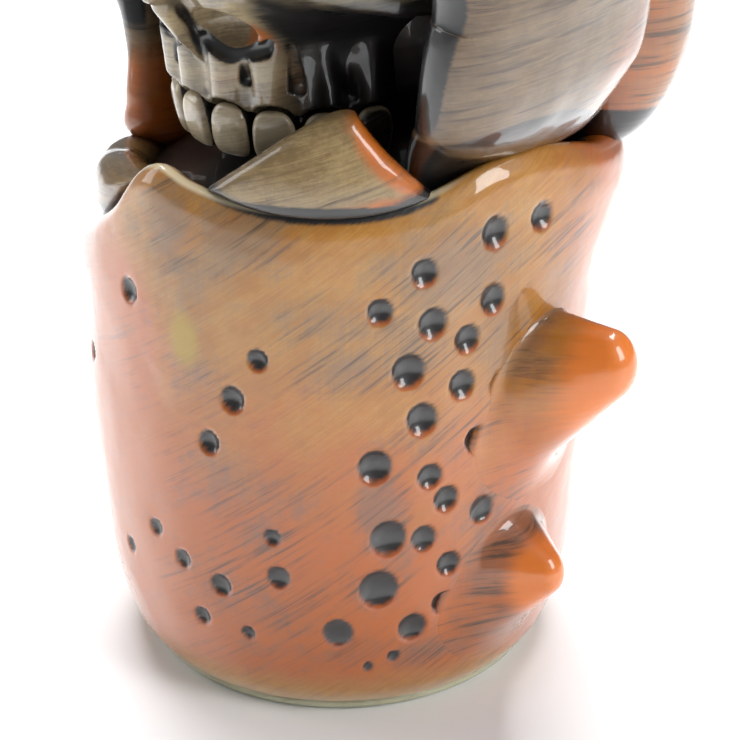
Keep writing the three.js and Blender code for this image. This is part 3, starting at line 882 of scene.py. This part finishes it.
def brushed_glaze(name, base, light, spray, streaks, wash=(0.35, 0.75), veil=0.5):
    """Dry-brushed paint: light marks, a sprayed colour, thin smudges, dark streaks and a black wash."""
    paint = Paint(name, base)
    sweep = paint.noise(paint.brush, 0.25, 3.0, 0.55)
    bristle = paint.noise(paint.brush, 2.1, 5.0, 0.7, 0.25)
    level = paint.noise(paint.squashed(0.09, 0.09, 1.0), 1.4, 5.0, 0.66, 0.3)
    upright = paint.noise(paint.squashed(1.0, 1.0, 0.06), 1.3, 4.0, 0.66, 0.3)
    patchy = paint.noise(paint.place, 0.06, 4.0, 0.6)
    mottle = paint.noise(paint.place, 0.2, 5.0, 0.7)
    marks = paint.blend((sweep, 0.35), (bristle, 0.3), (mottle, 0.35))
    paint.layer(light, paint.ramp(marks, 0.42, 0.6, 0.8))
    sprayed_on = paint.guide("spray")
    over = paint.blend((sprayed_on, 0.8), (patchy, 0.75), (level, 0.2), (mottle, 0.3), (sweep, 0.35))
    paint.layer(spray, paint.ramp(over, 0.85, 1.45, 0.95))
    smudge = paint.guide("smudge")
    thin = paint.blend((mottle, 0.45), (sweep, 0.4), (level, 0.15), (upright, 0.2), (smudge, 0.3))
    paint.layer(GREY_VEIL, paint.ramp(thin, 0.6, 0.88, veil))
    gate = paint.ramp(paint.blend((patchy, 0.9), (smudge, 0.6)), 0.44, 0.76)
    broad = paint.noise(paint.brush, 1.0, 4.0, 0.62, 0.25)
    dark = paint.math("MULTIPLY", paint.ramp(broad, 0.48, 0.7, streaks), gate)
    paint.layer(DARK_STROKE, dark)
    flecks = paint.ramp(bristle, 0.6, 0.72, 0.6 * streaks)
    paint.layer(DARK_STROKE, paint.math("MULTIPLY", flecks, paint.ramp(mottle, 0.5, 0.64)))
    ragged = paint.blend((paint.guide("wash"), 1.0), (bristle, 0.55), (mottle, 0.35))
    paint.layer(BLACK_WASH, paint.ramp(ragged, wash[0] + 0.45, wash[1] + 0.45))
    return paint


# Each glaze's three paints are its base, its light marks and what is sprayed over them.
BARREL_PAINTS = srgb(166, 108, 34), srgb(194, 140, 56), srgb(182, 90, 12)


def barrel_glaze():
    paint = brushed_glaze("barrel_glaze", *BARREL_PAINTS, 0.85, veil=0.6)
    # painted highlight along the front of the rim's crest; the same guide also makes the barrel lighter
    # towards its foot
    paint.layer(srgb(226, 208, 170), paint.ramp(paint.guide("painted_crest_highlight_and_pale_foot"), 0.25, 0.9, 0.9))
    paint.layer(srgb(172, 138, 20), paint.ramp(paint.guide("stain"), 0.2, 0.8, 0.85))
    paint.layer(srgb(176, 84, 22), paint.ramp(paint.guide("pit_edge"), 0.2, 0.9, 0.75))
    paint.layer(srgb(32, 28, 28), paint.guide("pit"))
    paint.layer(BLACK_WASH, paint.guide("lining"))
    return paint.finish()


def pad_glaze():
    tan = srgb(100, 76, 42), srgb(150, 120, 70), srgb(186, 92, 16)
    return brushed_glaze("pad_glaze", *tan, 1.0).finish()


def petal_glaze():
    light_tan = srgb(122, 98, 60), srgb(184, 158, 108), srgb(194, 102, 22)
    return brushed_glaze("petal_glaze", *light_tan, 1.0).finish()


def orange_glaze():
    orange = srgb(184, 106, 40), srgb(198, 136, 62), srgb(180, 88, 14)
    return brushed_glaze("orange_glaze", *orange, 0.85).finish()


def bone_glaze():
    bone = srgb(112, 98, 76), srgb(184, 166, 128), srgb(170, 92, 30)
    return brushed_glaze("bone_glaze", *bone, 1.0, (0.15, 0.6), 0.2).finish()


def enamel_glaze():
    enamel = srgb(168, 150, 122), srgb(226, 208, 172), srgb(176, 112, 60)
    return brushed_glaze("enamel_glaze", *enamel, 0.8, (0.15, 0.6), 0.2).finish()


def spike_glaze():
    """The barrel's own paint round the foot of a thorn, and bright orange brushed on towards its tip."""
    paint = brushed_glaze("spike_glaze", *BARREL_PAINTS, 0.9)
    bristle = paint.noise(paint.brush, 0.9, 4.0, 0.6)
    towards_tip = paint.blend((paint.guide("tip"), 1.0), (bristle, 0.5))
    paint.layer(srgb(220, 116, 28), paint.ramp(towards_tip, 0.45, 1.05))
    return paint.finish()


def dark_glaze():
    paint = Paint("dark_glaze", srgb(18, 15, 14))
    paint.layer(srgb(40, 28, 20), paint.ramp(paint.noise(paint.place, 0.04, 3.0), 0.45, 0.7))
    return paint.finish()


def foot_glaze():
    paint = Paint("foot_glaze", srgb(196, 194, 164), 0.6)
    paint.layer(srgb(160, 158, 126), paint.ramp(paint.noise(paint.place, 0.06, 4.0), 0.45, 0.7))
    return paint.finish(0.1)


# ---------------------------------------------------------------- where the paints lie on each piece

# Wash runs into the seam where two pieces meet: how far it reaches, and which pieces each one meets.
SEAMS = {
    "barrel": (2.0, ["petal"]),
    "petal": (4.0, ["barrel"]),
    "knuckle": (4.0, ["barrel", "left_pincer_pad"]),
    "skull": (4.0, ["right_pincer_pad", "left_pincer_pad"]),
    "right_pincer_pad": (6.0, ["barrel", "right_pincer_back", "neck_wall", "skull"]),
    "left_pincer_pad": (6.0, ["barrel", "left_pincer_back", "neck_wall", "skull"]),
    "right_pincer_back": (6.0, ["barrel", "right_pincer_pad", "left_pincer_back", "neck_wall"]),
    "left_pincer_back": (6.0, ["barrel", "left_pincer_pad", "right_pincer_back", "neck_wall"]),
}
TOOTH_DIMMING = (0.55, 0.5, 0.3, 0, 0, 0.3, 0.5, 0.55)  # wash over the face of each tooth


def barrel_paints(points, shape_guides):
    angle, height = angle_of(points), points[:, 2]
    stain = ((angle - 12) / 4.2) ** 2 + ((height - 74) / 5.5) ** 2
    # lighter towards the foot, carried in the same guide as the crest's painted highlight
    pale_foot = 0.5 * (1 - smoothstep(height, 2, 13))
    return {
        **shape_guides, "spray": sprayed(points), "smudge": smudged(points), "stain": np.exp(-stain),
        "painted_crest_highlight_and_pale_foot": np.maximum(shape_guides["painted_crest_highlight_and_pale_foot"], pale_foot),
    }


def spike_paints(points, normals):
    radius = np.hypot(points[:, 0], points[:, 1])
    foot = 1 - smoothstep(radius, 45.5, 51)
    upper_side = smoothstep(normals[:, 2], -0.2, 0.6)
    return {
        "spray": sprayed(points), "smudge": np.maximum(smudged(points), foot * upper_side),
        "tip": smoothstep(radius, 45.5, radius.max() - 1.5),
    }


def petal_paints(points, seam):
    angle, height = angle_of(points), points[:, 2]
    turn = np.radians(angle - PETAL["angle"]) * PETAL["radius"]
    border = outline_field(PETAL_OUTLINE, turn, height - PETAL["height"])
    above_foot = height - PETAL["height"] + 9.6 + 0.002 * turn**2
    return {
        "wash": np.maximum(seam, 1 - smoothstep(above_foot, 1.4, 3.2)),
        "spray": 0.9 * smoothstep(turn, 0, 8) * smoothstep(border, -3.8, -0.6),
        "smudge": 0.4 * np.exp(-((turn / 12) ** 2) - ((height - 101) / 4) ** 2),
    }


def pincer_paints(node, points, normals, seam):
    angle, height = angle_of(points), points[:, 2]
    side = 1 if "right" in node else -1
    # black in the valley above the barrel's rim, deepest at the front, and on the flank that faces the skull
    front = smoothstep(angle, 118, 68) * (angle > 0)
    valley = 1 - smoothstep(height - rim_crest(angle) - 5 * front, 3.5, 7)
    radius = np.hypot(points[:, 0], points[:, 1])
    around = np.stack([points[:, 1], -points[:, 0]], axis=-1) / radius[:, None]
    forward = side * (normals[:, :2] * around).sum(axis=1)
    inner = smoothstep(forward, 0.55, 0.85) * smoothstep(height, 104, 116) * ("pad" in node)
    # the left pad's narrow stalk is orange with one dark strip
    stalk = (1 - smoothstep(height, 103, 112)) * (node == "left_pincer_pad")
    strip = 1 - smoothstep(np.abs(angle + 77), 1, 3)
    rear = smoothstep(turn_between(angle, side * 110), 22, 0) * 0.9 * smoothstep(height, 150, 110)
    return {
        "wash": np.maximum.reduce([seam, valley, inner]) * (1 - stalk) + stalk * strip,
        "spray": np.maximum(rear, 0.6 * stalk),
        "smudge": 0.7 * (1 - stalk) * np.ones(len(points)),
    }


def skull_paints(mesh, points, seam):
    folded, height = mirrored(points), points[:, 2]
    hollow = shelter(skull_field, mesh, 3.5) * 1.15
    sides = smoothstep(folded[:, 0], 10, 19) * (1 - smoothstep(height, 126, 136))
    groove = 1 - smoothstep(strand(folded, NOSE_EDGE, NOSE_EDGE_RADII), 0, 0.6)
    socket = 1 - smoothstep(ellipsoid(folded, *EYE_SOCKET), 0.2, 2.2)
    nose = ellipsoid(folded, (11, -28, 122), (4.5, 6, 4.5))
    orange_root = np.exp(-(((folded[:, 0] - 18) / 3) ** 2) - ((height - 114) / 4) ** 2)
    return {
        "wash": np.maximum.reduce([seam, hollow, 0.7 * sides, groove, socket]),
        "spray": np.maximum(0.8 * (1 - smoothstep(nose, -2.5, 1)), 0.6 * orange_root),
    }


def tooth_paints(number, normals):
    _, out = tooth_place(2 * number - 9)
    facing = normals @ out
    face = TOOTH_DIMMING[number - 1] * smoothstep(facing, 0.5, 0.95)
    return {"wash": np.maximum(face, 1 - smoothstep(facing, 0.0, 0.5))}


def paint_guides(node, meshes, barrel_guides):
    """How strongly each paint lies on each vertex of a piece."""
    mesh = meshes[node]
    points, normals = vertex_array(mesh), normal_array(mesh)
    if "spike" in node:
        return spike_paints(points, normals)
    if node.startswith("tooth"):
        return tooth_paints(int(node[-1]), normals)
    if node not in SEAMS:
        return {}
    reach, others = SEAMS[node]
    seam = nearness(mesh, [meshes[other] for other in others], reach)
    if node == "barrel":
        return {"wash": seam, **barrel_paints(points, barrel_guides)}
    if node == "petal":
        return petal_paints(points, seam)
    if node == "skull":
        return skull_paints(mesh, points, seam)
    if "pincer" in node:
        return pincer_paints(node, points, normals, seam)
    return {"wash": seam}


# ---------------------------------------------------------------- the mug

BRUSH_SWINGS = {"barrel": 36, "petal": 14, "skull": 6}
OTHER_SWING = 10
SLOTS = {part["node"]: part["material_slot"] for part in frame["record"]["subparts"]}


def add_piece(mesh, node, material):
    """Adds a piece that stands for a CAD node, with the given finish, under the root body, and hides the
    node.
    """
    piece = bpy.data.objects.new(mesh.name, mesh)
    bpy.context.scene.collection.objects.link(piece)
    mesh.materials.append(material)
    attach(piece, "root")
    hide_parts(node)


def make_meshes():
    """Every node's mesh, with the barrel's own paint guides."""
    barrel, barrel_guides = make_barrel()
    meshes = {
        "barrel": barrel, "foot_disc": make_foot(), "neck_wall": make_neck(),
        "drinking_rim": make_drinking_rim(), "skull": make_skull(),
        "petal": make_petal(), "knuckle": make_knuckle(),
    }
    for number in range(1, 9):
        meshes[f"tooth_{number}"] = make_tooth(2 * number - 9, number)
    for side, word in ((1, "right"), (-1, "left")):
        meshes[f"{word}_pincer_pad"] = pincer(f"{word}_pincer_front", side, **PADS[word])
        meshes[f"{word}_pincer_back"] = pincer(f"{word}_pincer_rear", side, **BACK)
        for name in THORNS:
            meshes[f"{word}_{name}"] = make_thorn(side, word, name)
    return meshes, barrel_guides


def build_mug():
    meshes, barrel_guides = make_meshes()
    glazes = {
        "raw_clay": foot_glaze(), "orange_glaze": orange_glaze(), "tan_glaze": pad_glaze(),
        "bone_glaze": bone_glaze(), "spike_glaze": spike_glaze(), "dark_glaze": dark_glaze(),
    }
    own_glazes = {"barrel": barrel_glaze(), "tooth": enamel_glaze(), "petal": petal_glaze()}
    for node, mesh in meshes.items():
        swing = BRUSH_SWINGS.get(node, OTHER_SWING)
        put_vectors(mesh, "brush", brush_places(vertex_array(mesh), swing))
        for name, values in paint_guides(node, meshes, barrel_guides).items():
            put_values(mesh, name, values)
        kind = node.split("_")[0]
        add_piece(mesh, node, own_glazes.get(kind) or glazes[SLOTS[node]])


# ---------------------------------------------------------------- camera, floor and light


def place_camera():
    """Looks down on the front of the mug from its right hand side."""
    azimuth, elevation = math.radians(45), math.radians(26.5)
    distance, aside = 0.3677, 0.0055
    level = math.cos(elevation)
    back = Vector((math.sin(azimuth) * level, -math.cos(azimuth) * level, math.sin(elevation)))
    right = Vector((math.cos(azimuth), math.sin(azimuth), 0))
    target = Vector((0, 0, 0.0496)) + right * aside
    data = bpy.data.cameras.new("camera")
    data.sensor_width, data.lens, data.clip_start = 36, 97.3, 0.01
    camera = bpy.data.objects.new("camera", data)
    camera.location = target + back * distance
    camera.rotation_euler = back.to_track_quat("Z", "Y").to_euler()
    bpy.context.scene.collection.objects.link(camera)
    bpy.context.scene.camera = camera


def softbox(name, place, aim, size, power):
    data = bpy.data.lights.new(name, "AREA")
    data.shape, data.size, data.size_y = "RECTANGLE", *size
    data.energy = power
    light = bpy.data.objects.new(name, data)
    light.location = place
    light.rotation_euler = (Vector(place) - Vector(aim)).to_track_quat("Z", "Y").to_euler()
    bpy.context.scene.collection.objects.link(light)


def make_floor():
    half = 3.0
    mesh = bpy.data.meshes.new("floor")
    corners = [(-half, -half, 0), (half, -half, 0), (half, half, 0), (-half, half, 0)]
    mesh.from_pydata(corners, [], [(0, 1, 2, 3)])
    floor = bpy.data.objects.new("floor", mesh)
    bpy.context.scene.collection.objects.link(floor)
    material = bpy.data.materials.new("floor")
    material.use_nodes = True
    shader = material.node_tree.nodes["Principled BSDF"]
    shader.inputs["Base Color"].default_value = (0.93, 0.94, 0.95, 1)
    shader.inputs["Roughness"].default_value = 0.35
    mesh.materials.append(material)


def build_studio():
    scene = bpy.context.scene
    world = bpy.data.worlds.new("studio")
    world.use_nodes = True
    background = world.node_tree.nodes["Background"]
    background.inputs["Color"].default_value = (0.93, 0.96, 1, 1)
    background.inputs["Strength"].default_value = 0.24
    scene.world = world
    make_floor()
    softbox("overhead", (-0.25, 0.25, 1.0), (0, 0, 0.08), (0.8, 0.6), 22)
    softbox("left", (-0.8, -0.55, 0.5), (0, 0, 0.07), (0.5, 0.8), 3.4)
    softbox("right", (0.8, 0.1, 0.55), (0, 0, 0.07), (0.3, 0.6), 5)
    scene.view_settings.view_transform = "Standard"


place_camera()
build_studio()
build_mug()
